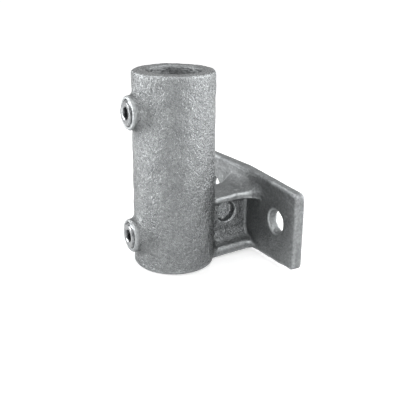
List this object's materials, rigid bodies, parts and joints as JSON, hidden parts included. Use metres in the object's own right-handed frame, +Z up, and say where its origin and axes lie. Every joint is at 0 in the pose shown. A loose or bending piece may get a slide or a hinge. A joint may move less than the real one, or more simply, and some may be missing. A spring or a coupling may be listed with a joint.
{
  "type": "tube clamp base flange",
  "caption": "Cast clamp sleeve for an upright tube, with set screws in round bosses and a ribbed, pocketed neck to a flat wall flange with bolt holes.",
  "frame": {"origin": "on the axis of the tube bore, level with the centres of the fixing holes", "axes": "+Z up along the tube bore, the set screws point along -Y, the flange's wall face looks along +Y, the flange plate runs along X, and the web's round recess is on the side of +X"},
  "size_m": [0.098, 0.0744, 0.102],
  "materials": {
    "galvanised_iron": "satin",
    "screw_steel": "satin"
  },
  "bodies": {
    "root": {"clamp_body": "galvanised_iron", "set_screws": "screw_steel"}
  },
  "joints": []
}
